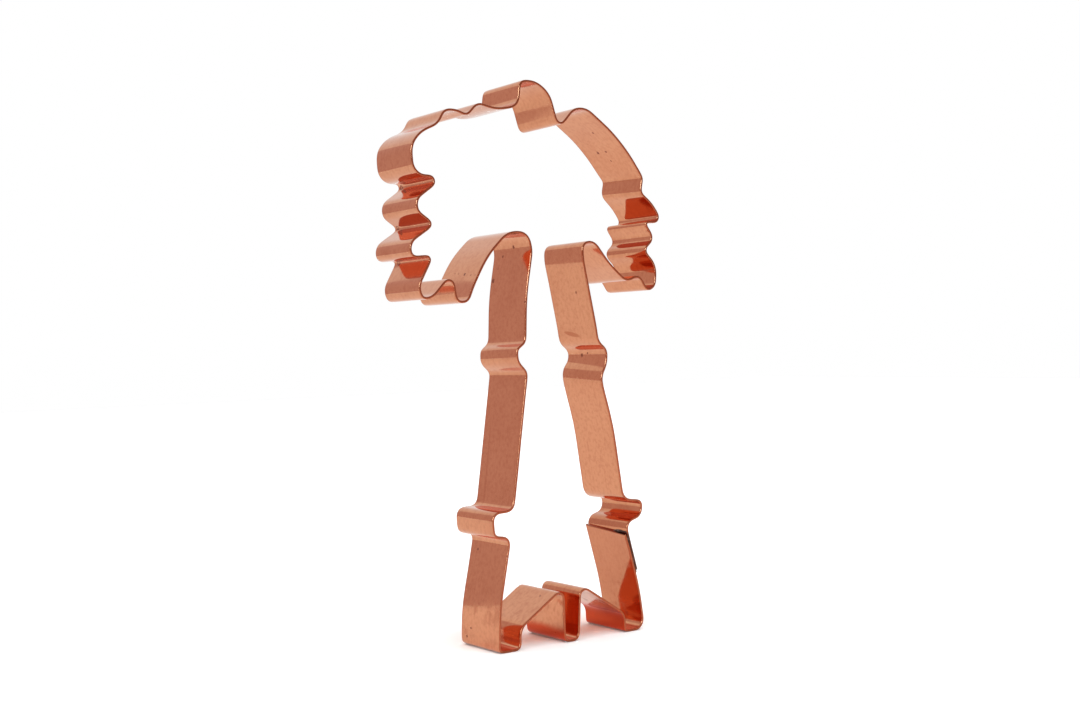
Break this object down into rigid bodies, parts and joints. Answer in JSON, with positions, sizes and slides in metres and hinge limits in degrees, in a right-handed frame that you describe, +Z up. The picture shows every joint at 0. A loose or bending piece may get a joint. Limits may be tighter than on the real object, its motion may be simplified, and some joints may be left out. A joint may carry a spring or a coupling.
{
  "type": "cookie cutter",
  "caption": "Copper strip cookie cutter with a tapering ringed tower, splayed feet, a middle stub and a broad ragged crown, soldered in a lap on one shin.",
  "frame": {"origin": "on the floor under the middle of the whole cutter as it stands on its feet", "axes": "+Z up from the feet to the knob, X across the outline, Y along the width of the strip"},
  "size_m": [0.0878, 0.019, 0.1619],
  "materials": {
    "copper": "satin rolled copper",
    "solder": "dull solder"
  },
  "bodies": {
    "root": {"copper_strip": "copper", "seam_solder": "solder"}
  },
  "joints": []
}
